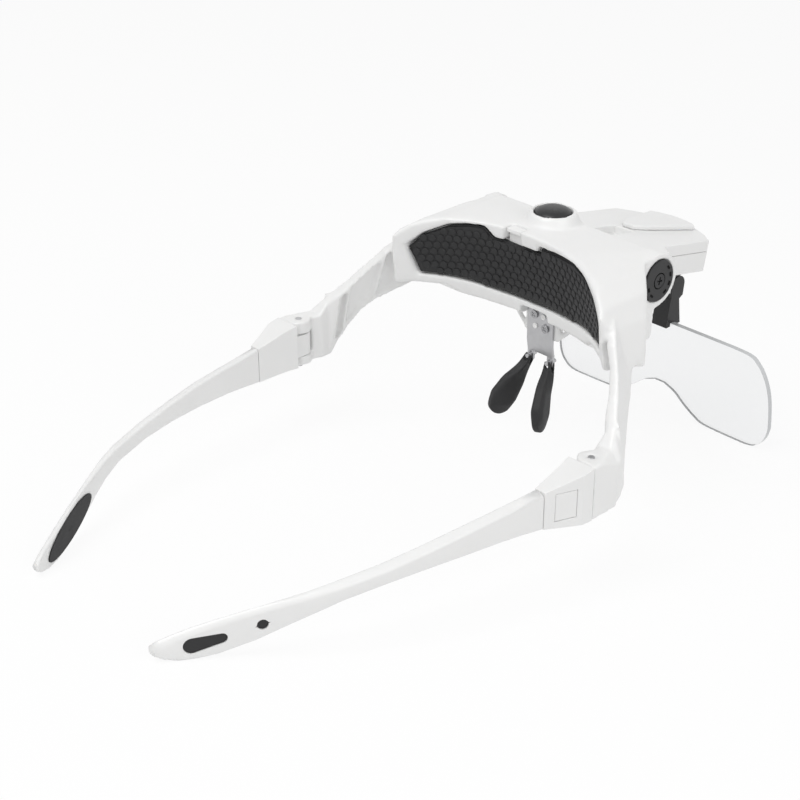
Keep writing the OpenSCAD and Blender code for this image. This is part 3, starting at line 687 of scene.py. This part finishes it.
@dataclass
class BrowFrame(Part):
    """The hollow brow frame with its arms, and what is screwed to it."""

    voxel_mm: float = 0.64
    rounds: int = 12
    # The hub seats and the button's seat, which aren't smoothed
    hub_x: float = 39.0
    hub_at: tuple[float, float] = (-73.5, 31.0)
    hub_reach: float = 10.6
    button_at: tuple[float, float] = (4.0, -67.0)
    button_reach: float = 8.4
    button_low: float = 36.0
    # The block that the nose bracket is screwed to, and the arms' forked ends
    block_half: float = 9.0
    block_top: float = 11.6
    block_share: float = 0.15
    fork_y: float = -13.0
    fork_share: float = 0.35
    # The corners below the arms' roots: place and reach
    melts: tuple[tuple[Triple, float], ...] = (((52.5, -33.5, 13.0), 9.0), ((58.5, -46.5, 10.0), 12.0))
    melt_rounds: int = 70
    # A shallow swelling over the thin wall in front of the button, which the new skin would break through
    swell_at: Triple = (4.0, -75.1, 42.1)
    swell_size: Triple = (4.5, 0.55, 2.4)
    # The two white studs that stand through the bracket
    studs: tuple[tuple[float, float], ...] = ((-1.6, 7.5), (2.3, 2.7))
    stud_r: float = 1.15
    stud_l: float = 1.0
    plate_y: float = -57.6

    def melting(self, place: Vector) -> float:
        """How far a place near the arms' roots is melted into a flowing form.

        Args:
            place: The place in the wearing frame.

        Returns:
            From 0 far from the roots to 1 at their corners.
        """
        near = min(math.dist((abs(place.x), place.y, place.z), spot) / reach for spot, reach in self.melts)
        return math.sqrt(max(0.0, 1.0 - near))

    def softness(self, place: Vector) -> float:
        """How far the edges round a place are melted.

        Args:
            place: The place in the wearing frame.

        Returns:
            From 0 where seats stay crisp to 1 on the free outer surface.
        """
        if abs(place.x) > self.hub_x and math.dist((place.y, place.z), self.hub_at) < self.hub_reach:
            return 0.0
        if math.dist((place.x, place.y), self.button_at) < self.button_reach and place.z > self.button_low:
            return 0.0
        if abs(place.x) < self.block_half and place.z < self.block_top:
            return self.block_share
        return self.fork_share if place.y > self.fork_y else 1.0

    def shell(self) -> bpy.types.Object:
        """Builds the frame's skin.

        Returns:
            The skin.
        """
        bm = self.bench.welded("front_frame")
        swell = Matrix.Translation(self.swell_at) @ Matrix.Diagonal((*self.swell_size, 1.0))
        bmesh.ops.create_uvsphere(bm, u_segments=32, v_segments=16, radius=1.0, matrix=WORN @ swell)
        piece = self.bench.object("front_frame_moulding", bm, WHITE)
        self.bench.flowed(piece, self.voxel_mm, self.rounds, self.softness)
        self.bench.smoothed(piece, self.melt_rounds, self.melting)
        return piece

    def bracket_studs(self) -> bpy.types.Object:
        """Builds the two studs that show through the nose bracket.

        Returns:
            The studs.
        """
        bm = bmesh.new()
        upright = Matrix.Rotation(math.radians(90), 4, "X")
        for x, z in self.studs:
            spot = WORN @ Matrix.Translation((x, self.plate_y, z)) @ upright
            bmesh.ops.create_cone(bm, cap_ends=True, segments=24, radius1=self.stud_r, radius2=self.stud_r,
                                  depth=self.stud_l, matrix=spot)
        piece = self.bench.object("bracket_studs", bm, WHITE)
        self.bench.soften(piece, 0.2)
        return piece

    def build(self) -> None:
        """Builds the frame, the nose bracket and the pins."""
        self.keep(self.shell(), "frame", "front_frame", slot=Slot.WHITE_ABS)
        self.keep(self.bracket_studs(), "frame", slot=Slot.WHITE_ABS)
        self.mouldings("frame", {
            "nose_bracket": Skin(STEEL, Slot.SPRING_STEEL, 0.15),
            "bracket_screws": Skin(SCREW, Slot.SPRING_STEEL, 0.08),
            "nose_pins": Skin(STEEL, Slot.SPRING_STEEL, 0.1),
            "hinge_pins": Skin(STEEL, Slot.SPRING_STEEL, 0.12),
            "switch_body": Skin(BLACK, Slot.BLACK_PLASTIC, 0.2),
            "battery_tray": Skin(BLACK, Slot.BLACK_PLASTIC, 0.2),
            "battery_cells": Skin(CELL, Slot.CELL_STEEL, 0.3),
            "battery_contacts": Skin(STEEL, Slot.SPRING_STEEL, 0.05),
        })


@dataclass
class ForeheadPad(Part):
    """The battery cover and its black pad with raised hexagons."""

    brow_r: float = 74.0
    brow_y: float = 47.5
    brow_z: float = 43.6
    lean: float = 9.0
    face_r: float = 74.5
    pitch: float = 3.38
    hex_r: float = 1.66
    rise: float = 0.42
    crown: float = 0.16
    sunk: float = 0.25
    half: float = 49.0
    corner: float = 0.5
    narrowing: float = 0.8
    rim: float = 2.0
    rows: range = range(-13, 4)
    columns: range = range(-17, 18)

    def on_brow(self, angle: float, radius: float, height: float) -> Vector:
        """A point on the leaning brow cylinder.

        Args:
            angle: Angle from the middle, in radians, to the wearer's left.
            radius: Radius from the cylinder's axis.
            height: Height along the axis from the top rim.

        Returns:
            The point in the wearing frame.
        """
        flat = Vector((radius * math.sin(angle), -radius * math.cos(angle), height))
        axis = Vector((0, self.brow_r - self.brow_y, self.brow_z))
        return Matrix.Rotation(math.radians(-self.lean), 3, "X") @ flat + axis

    def outline(self, m: float) -> list[tuple[float, float]]:
        """The pad's outline seen from behind.

        Args:
            m: How far it is taken in.

        Returns:
            Its points, in millimetres.
        """
        h = self.half - m
        return [(-h + 2.6, 16.8 + m), (-38, 16.8 + m), (-30, 16 + m), (-16, 14.2 + m), (0, 13.4 + m),
                (16, 14.2 + m), (30, 16 + m), (38, 16.8 + m), (h - 2.6, 16.8 + m), (h, 29.4 - m),
                (43, 35.2 - m), (34, 40 - m), (27, 41.4 - m), (20 + m, 41.8 - m), (16 + m, 38 - m),
                (-4 - m, 37.4 - m), (-5 - m, 40.2 - m), (-26, 41.4 - m), (-34, 40 - m), (-43, 35.2 - m),
                (-h, 29.4 - m)]

    def boss(self, bm: bmesh.types.BMesh) -> list[bmesh.types.BMVert]:
        """Makes one raised hexagon, flat, with its height in millimetres along Z.

        Args:
            bm: The mesh that it is made in.

        Returns:
            Its vertices.
        """
        foot = bmesh.ops.create_circle(bm, cap_ends=True, segments=6, radius=self.hex_r)["verts"]
        bmesh.ops.rotate(bm, verts=foot, matrix=Matrix.Rotation(math.radians(30), 3, "Z"))
        foot = bmesh.ops.bevel(bm, geom=foot, offset=self.corner, segments=2, profile=0.5, affect="VERTICES",
                               material=-1)["verts"]
        base = next(f for f in foot[0].link_faces if set(f.verts) <= set(foot))
        made = bmesh.ops.extrude_face_region(bm, geom=[base])["geom"]
        top = [v for v in made if isinstance(v, bmesh.types.BMVert)]
        bmesh.ops.translate(bm, verts=top, vec=(0, 0, self.rise - self.crown + self.sunk))
        lid = next(f for f in made if isinstance(f, bmesh.types.BMFace))
        crown = bmesh.ops.extrude_face_region(bm, geom=[lid])["geom"]
        peak = [v for v in crown if isinstance(v, bmesh.types.BMVert)]
        bmesh.ops.delete(bm, geom=[lid], context="FACES_ONLY")
        bmesh.ops.scale(bm, verts=peak, vec=(self.narrowing, self.narrowing, 1.0))
        bmesh.ops.translate(bm, verts=peak, vec=(0, 0, self.crown))
        return [*foot, *top, *peak]

    def hexagons(self, bm: bmesh.types.BMesh) -> int:
        """Lays the raised hexagons over the pad.

        Args:
            bm: The pad's mesh, in metres.

        Returns:
            How many were laid.
        """
        rim = self.outline(self.rim)
        row = self.pitch * math.sqrt(3) / 2
        pattern = self.boss(bm)
        shell = list({face for vert in pattern for face in vert.link_faces})
        count = 0
        for j in self.rows:
            for i in self.columns:
                angle = (i + (j % 2) / 2) * self.pitch / self.face_r
                centre = self.on_brow(angle, self.face_r, j * row)
                if not inside((centre.x, centre.z), rim):
                    continue
                made = bmesh.ops.duplicate(bm, geom=[*pattern, *shell])["geom"]
                for vert in (v for v in made if isinstance(v, bmesh.types.BMVert)):
                    x, y, up = vert.co
                    radius = self.face_r + self.sunk - up
                    vert.co = WORN @ self.on_brow(angle + x / self.face_r, radius, j * row + y)
                count += 1
        bmesh.ops.delete(bm, geom=pattern, context="VERTS")
        return count

    def build(self) -> None:
        """Builds the carrier and the pad."""
        self.moulding("pad_carrier", "battery_cover", Skin(WHITE, Slot.WHITE_ABS, 0.25))
        bm = self.bench.welded("forehead_pad")
        count = self.hexagons(bm)
        pad = self.bench.object("forehead_pad_hexagons", bm, RUBBER)
        self.bench.soften(pad, 0.0, 1, 30.0)
        self.keep(pad, "battery_cover", "forehead_pad", slot=Slot.BLACK_RUBBER)
        log.info("forehead pad: %d hexagons", count)


@dataclass
class PowerButton(Part):
    """The black dome that switches the lamp."""

    def build(self) -> None:
        """Builds the button."""
        self.moulding("power_button", "power_button", Skin(DOME, Slot.BLACK_RUBBER, 0.35, 3, 20.0))


@dataclass
class Lamp(Part):
    """The tilting lamp with its lid, board and hubs."""

    axis: tuple[float, float] = (-73.5, 31.0)
    pitch: float = 11.5
    cap_face: float = 42.95
    slot_r: float = 6.3
    slot_size: Triple = (0.3, 0.8, 1.7)
    slot_turns: tuple[float, ...] = (128.0, 160.0, 192.0, 224.0, 300.0, 332.0)

    def cap_slots(self) -> bpy.types.Object:
        """Builds thin near-black boxes near the edge of both hub caps, painted shade where the small spanner
        slots are.

        Returns:
            The slots.
        """
        bm = bmesh.new()
        lamp = WORN @ Matrix.Translation((0, *self.axis)) @ Matrix.Rotation(math.radians(self.pitch), 4, "X")
        for side in Side:
            for turn in self.slot_turns:
                spot = (side.flip @ Matrix.Rotation(math.radians(turn), 4, "X")
                        @ Matrix.Translation((self.cap_face, self.slot_r, 0)))
                made = bmesh.ops.create_cube(bm, size=1.0)["verts"]
                bmesh.ops.scale(bm, vec=self.slot_size, verts=made)
                bmesh.ops.transform(bm, matrix=lamp @ spot, verts=made)
        bmesh.ops.recalc_face_normals(bm, faces=bm.faces)
        return self.bench.object("hub_cap_slot_shade", bm, SLOT_SHADE)

    def build(self) -> None:
        """Builds the lamp."""
        self.mouldings("lamp", {
            "lamp_shell_lower": Skin(WHITE, Slot.WHITE_ABS, 0.4),
            "lamp_shell_upper": Skin(WHITE, Slot.WHITE_ABS, 0.5, 3),
            "lamp_cover": Skin(WHITE, Slot.WHITE_ABS, 0.6, 3),
            "led_board": Skin(BOARD, Slot.BOARD_GREEN, 0.1),
            "leds": Skin(PHOSPHOR, Slot.LED_YELLOW, 0.0),
            "led_windows": Skin(WINDOW, Slot.WINDOW_CLEAR, 0.1),
            "hub_caps": Skin(BLACK, Slot.BLACK_PLASTIC, 0.35, 3),
        })
        self.keep(self.cap_slots(), "lamp", slot=Slot.BLACK_PLASTIC)
        self.mouldings("lamp", {
            "hub_screws": Skin(DARK_SCREW, Slot.BLACK_STEEL, 0.12),
            "hub_bushes": Skin(STEEL, Slot.SPRING_STEEL, 0.1),
            "arm_pin": Skin(STEEL, Slot.SPRING_STEEL, 0.1),
        })


@dataclass
class LensArm(Part):
    """The jointed black arm and clip, and the lens that hangs in it."""

    half: float = 56.0
    drop: float = 20.6
    high: float = 40.8
    notch: float = 12.5
    thick: float = 2.6
    lens_y: float = 137.5
    tab: float = 2.8
    tab_top: float = -14.0
    rim_mm: float = 0.35

    def outline(self) -> list[tuple[float, float]]:
        """Half of the lens's outline, from the middle of its top edge to its notch.

        Returns:
            Its points, in millimetres.
        """
        w, t, h = self.half, -self.drop, self.high
        side = [(w - 30, t - 0.1), (w - 13.6, t - 0.6), (w - 8.1, t - 3.4), (w - 3.9, t - 9.1),
                (w - 1.2, t - 17), (w, t - h + 12.8), (w - 0.3, t - h + 8.8), (w - 1.5, t - h + 5.4),
                (w - 3.4, t - h + 2.9),
                (w - 6, t - h + 1), (w - 9, t - h + 0.2), (w - 14, t - h), (w - 30.9, t - h + 0.4),
                (w - 36.7, t - h + 2.3), (w - 42.7, t - h + 6), (8.2, t - h + self.notch - 2.6),
                (2.5, t - h + self.notch - 0.2)]
        return [(self.tab, self.tab_top), (self.tab, t), *spline(side, 5)]

    def lens(self) -> bpy.types.Object:
        """Builds the lens: a clear plate with a rounded rim, whose opaque grey is painted shade for the edge.

        Returns:
            The lens.
        """
        half = self.outline()
        ring = [*half, *[(-x, z) for x, z in reversed(half)]]
        bm = bmesh.new()
        verts = [bm.verts.new((x, -self.lens_y - self.thick / 2, z)) for x, z in ring]
        bm.faces.new(verts)
        made = bmesh.ops.extrude_face_region(bm, geom=list(bm.faces))["geom"]
        back = [v for v in made if isinstance(v, bmesh.types.BMVert)]
        bmesh.ops.translate(bm, vec=(0, self.thick, 0), verts=back)
        bmesh.ops.recalc_face_normals(bm, faces=bm.faces)
        rim = [f for f in bm.faces if abs(f.normal.y) < 0.5]
        edges = [e for e in bm.edges if sum(f in rim for f in e.link_faces) == 1]
        bmesh.ops.bevel(bm, geom=edges, offset=self.rim_mm, segments=2, profile=0.5, affect="EDGES",
                        material=-1)
        # Faces of the rim take the second material, an opaque grey that paints the shade of the clear edge.
        for face in bm.faces:
            face.material_index = 0 if abs(face.normal.y) > 0.9 else 1
        bmesh.ops.transform(bm, matrix=WORN, verts=bm.verts)
        piece = self.bench.object("lens_plate", bm, LENS_FACE, LENS_EDGE_SHADE)
        self.bench.soften(piece, 0.0, 1, 40.0)
        return piece

    def build(self) -> None:
        """Builds the arm, the clip and the lens."""
        self.moulding("lens_arm", "lens_arm", Skin(BLACK, Slot.BLACK_PLASTIC, 0.35, 3))
        self.moulding("lens_clip", "lens_clip", Skin(BLACK, Slot.BLACK_PLASTIC, 0.3, 3))
        self.keep(self.lens(), "lens", "lens", slot=Slot.LENS_CLEAR)


@dataclass
class NosePad(Part):
    """One rubber nose pad, with a thinner neck and a fuller bulb than its solid."""

    side: Side = Side.LEFT
    voxel_mm: float = 0.35
    rounds: int = 9
    hang_at: Triple = (4.5, -58.9, -10.8)
    splay: float = 15.0
    sweep: float = 24.0
    neck_l: float = 2.5
    swell_l: float = 9.0
    neck_share: float = 0.72
    bulb_gain: float = 0.5
    length_gain: float = 0.07
    turn: float = 22.0
    back: float = 0.4
    drift: float = 1.2
    sag: float = 1.2

    def place(self) -> Matrix:
        """Where the drop's own frame lies: within a millimetre of its pin, with Z along the drop.

        Returns:
            The drop's frame on the table.
        """
        sweep = Matrix.Rotation(math.radians(self.sweep), 4, "X")
        turn = Matrix.Rotation(math.radians(-self.splay), 4, "Y") @ sweep
        return WORN @ self.side.flip @ Matrix.Translation(self.hang_at) @ turn

    def shaped(self, local: Vector) -> Vector:
        """Moves one place of the drop from the solid's form to the photographed one.

        Args:
            local: The place in the drop's own frame.

        Returns:
            Where it goes.
        """
        down = max(0.0, min(1.0, (-local.z - self.neck_l) / self.swell_l))
        ease = down * down * (3 - 2 * down)
        flat = Vector((local.x, local.y * (self.neck_share + self.bulb_gain * ease), 0))
        turned = Matrix.Rotation(math.radians(-self.turn) * ease, 3, "Z") @ flat
        return Vector((turned.x, turned.y + self.back + self.drift * ease,
                       local.z * (1 + self.length_gain * ease) - self.sag))

    def build(self) -> None:
        """Builds the pad as one soft drop."""
        node = f"nose_pad_{self.side.word}"
        piece = self.bench.object(f"{node}_drop", self.bench.welded(node), RUBBER)
        self.bench.flowed(piece, self.voxel_mm, self.rounds)
        place = self.place()
        home = place.inverted()
        for vertex in piece.data.vertices:
            vertex.co = place @ self.shaped(home @ vertex.co)
        self.keep(piece, node, node, slot=Slot.NOSE_RUBBER)


@dataclass
class Temple(Part):
    """One hinge block with its release button, temple and ear grip."""

    side: Side = Side.LEFT
    pin_x: float = 75.0
    grip_at: Triple = (-32.7, 133.0, -21.0)
    grip_turn: float = 29.0
    grip_tilt: float = 12.0
    grip_drop: float = 1.8
    grip_half: tuple[float, float] = (16.3, 4.45)
    thick: float = 3.2
    grip_raise: float = 0.5
    grip_sunk: float = 0.5
    rings: int = 6
    ripple_mm: float = 0.3

    def grip_place(self) -> Matrix:
        """Where the grip's own frame lies.

        Returns:
            The grip's frame in the wearing frame.
        """
        x, y, z = self.grip_at
        turn = Matrix.Rotation(math.radians(self.grip_turn), 4, "Z")
        return Matrix.Translation((self.pin_x + x, y, z)) @ turn @ Matrix.Translation((0, 0, -self.grip_drop))

    def ripples(self) -> bmesh.types.BMesh:
        """The grip's inner face: oval rings that rise and fall.

        Returns:
            The rings, in metres.
        """
        bm = bmesh.new()
        a, b = self.grip_half
        bmesh.ops.create_circle(bm, cap_ends=True, segments=56, radius=1.0)
        bmesh.ops.scale(bm, vec=(a, b, 1.0), verts=bm.verts)
        lid = next(iter(bm.faces))
        steps = [(1.0, self.grip_sunk)]
        count = 2 * self.rings
        steps += [(1 - (k + 0.5) / (count + 1), self.ripple_mm * (1 if k % 2 else -1)) for k in range(count)]
        share = 1.0
        for size, rise in steps:
            made = bmesh.ops.extrude_face_region(bm, geom=[lid])["geom"]
            fresh = next(f for f in made if isinstance(f, bmesh.types.BMFace))
            if lid.is_valid:
                bmesh.ops.delete(bm, geom=[lid], context="FACES_ONLY")
            lid = fresh
            bmesh.ops.scale(bm, vec=(size / share, size / share, 1.0), verts=lid.verts)
            bmesh.ops.translate(bm, vec=(0, 0, rise), verts=lid.verts)
            share = size
        face = -self.thick * math.cos(math.radians(self.grip_turn)) / 2 - self.grip_raise
        lay = Matrix(((0, 0, -1, face + self.grip_sunk), (1, 0, 0, 0), (0, 1, 0, 0), (0, 0, 0, 1)))
        tilt = Matrix.Rotation(math.radians(-self.grip_tilt), 4, "X")
        bmesh.ops.transform(bm, matrix=WORN @ self.side.flip @ self.grip_place() @ tilt @ lay, verts=bm.verts)
        bmesh.ops.recalc_face_normals(bm, faces=bm.faces)
        return bm

    def build(self) -> None:
        """Builds everything behind one hinge pin."""
        word = self.side.word
        self.moulding(f"hinge_block_{word}", f"hinge_{word}", Skin(WHITE, Slot.WHITE_ABS, 0.4))
        self.moulding(f"release_button_{word}", f"release_{word}", Skin(WHITE, Slot.WHITE_ABS, 0.3))
        self.mouldings(f"temple_{word}", {
            f"temple_{word}": Skin(WHITE, Slot.WHITE_ABS, 0.0, 1, 52.0),
            f"ear_grip_{word}": Skin(RUBBER, Slot.BLACK_RUBBER, 0.15),
        })
        piece = self.bench.object(f"ear_grip_ripples_{word}", self.ripples(), RUBBER)
        self.bench.soften(piece, 0.0, 1, 60.0)
        self.keep(piece, f"temple_{word}", slot=Slot.BLACK_RUBBER)


@dataclass
class Studio:
    """The camera, the lamps and the floor."""

    lens_mm: float = 76.5
    at: Triple = (-0.3859676, 0.4167619, 0.2874703)
    right: Triple = (-0.694098, -0.715353, 0.08061)
    up: Triple = (0.340895, -0.227992, 0.912036)
    look: Triple = (0.63405, -0.660522, -0.402109)
    aim: Triple = (0.0, 0.0, 0.04)
    floor_half: float = 6.0
    floor_grey: float = 0.9
    floor_glow: float = 0.9
    sky_light: float = 0.48

    def camera(self) -> None:
        """Sets up the photograph's camera."""
        data = bpy.data.cameras.new("camera")
        data.lens, data.sensor_width = self.lens_mm, 36.0
        data.clip_start, data.clip_end = 0.01, 20.0
        cam = bpy.data.objects.new("camera", data)
        bpy.context.scene.collection.objects.link(cam)
        turn = Matrix((self.right, self.up, tuple(-v for v in self.look))).transposed().to_4x4()
        cam.matrix_world = Matrix.Translation(self.at) @ turn
        bpy.context.scene.camera = cam

    def lamp(self, name: str, at: Triple, size: float, power: float) -> None:
        """Adds one soft box that faces the object.

        Args:
            name: Its name.
            at: Its place.
            size: Its side.
            power: Its power in watts.
        """
        data = bpy.data.lights.new(name, "AREA")
        data.shape, data.size, data.energy = "SQUARE", size, power
        made = bpy.data.objects.new(name, data)
        bpy.context.scene.collection.objects.link(made)
        made.location = at
        made.rotation_euler = (Vector(self.aim) - Vector(at)).to_track_quat("-Z", "Y").to_euler()

    def seen(self, bench: ShaderBench) -> Wire:
        """Rays that show the background: camera, glossy and transmitted ones.

        Args:
            bench: The nodes that the wire is for.

        Returns:
            1 for such a ray and 0 for others.
        """
        path = {name: bench.node("ShaderNodeLightPath", output=name)
                for name in ("Is Camera Ray", "Is Glossy Ray", "Is Transmission Ray")}
        total = path["Is Camera Ray"] + path["Is Glossy Ray"] + path["Is Transmission Ray"]
        return bench.node("ShaderNodeMath", {"operation": "MINIMUM"}, {0: total, 1: 1.0})

    def floor(self) -> None:
        """Adds the pale floor."""
        bm = bmesh.new()
        bmesh.ops.create_grid(bm, x_segments=1, y_segments=1, size=self.floor_half)
        mesh = bpy.data.meshes.new("floor")
        bm.to_mesh(mesh)
        bm.free()
        made = bpy.data.objects.new("floor", mesh)
        bpy.context.scene.collection.objects.link(made)
        bench = ShaderBench(bpy.data.materials.new("floor_white"))
        grey = (self.floor_grey, self.floor_grey, self.floor_grey, 1.0)
        diffuse = bench.node("ShaderNodeBsdfDiffuse", {}, {"Color": grey})
        glow = bench.node("ShaderNodeEmission", {}, {"Color": (1.0, 1.0, 1.0, 1.0), "Strength": 1.0})
        share = self.seen(bench) * self.floor_glow
        mixed = bench.node("ShaderNodeMixShader", {}, {0: share, 1: diffuse, 2: glow})
        bench.node("ShaderNodeOutputMaterial", {}, {"Surface": mixed})
        mesh.materials.append(bench.owner)

    def sky(self) -> None:
        """Makes the world: white to the eye, softer as a light."""
        world = bpy.data.worlds.new("studio")
        bpy.context.scene.world = world
        bench = ShaderBench(world)
        strength = self.seen(bench) * (1.0 - self.sky_light) + self.sky_light
        back = bench.node("ShaderNodeBackground", {}, {"Color": (1.0, 1.0, 1.0, 1.0), "Strength": strength})
        bench.node("ShaderNodeOutputWorld", {}, {"Surface": back})

    def build(self) -> None:
        """Sets the whole studio up."""
        self.sky()
        self.floor()
        self.lamp("key", (0.1, 0.6, 1.0), size=0.7, power=6.6)
        self.lamp("side", (-0.9, 0.0, 0.55), size=0.8, power=3.2)
        bpy.context.scene.view_settings.view_transform = "Standard"


def main() -> None:
    """Builds the studio and every sub-assembly, and reports each piece."""
    logging.basicConfig(level=logging.INFO, format="%(name)s: %(message)s")
    studio = Studio()
    studio.camera()
    bench = Bench(Finishes())
    parts: list[Part] = [kind(bench) for kind in (BrowFrame, ForeheadPad, PowerButton, Lamp, LensArm)]
    parts += [NosePad(bench, side=side) for side in Side]
    parts += [Temple(bench, side=side) for side in Side]
    for part in parts:
        part.build()
        for piece in part.pieces:
            log.info("%s: %s, %d faces", type(part).__name__, piece.name, len(piece.data.polygons))
    studio.build()


if __name__ == "__main__":
    main()
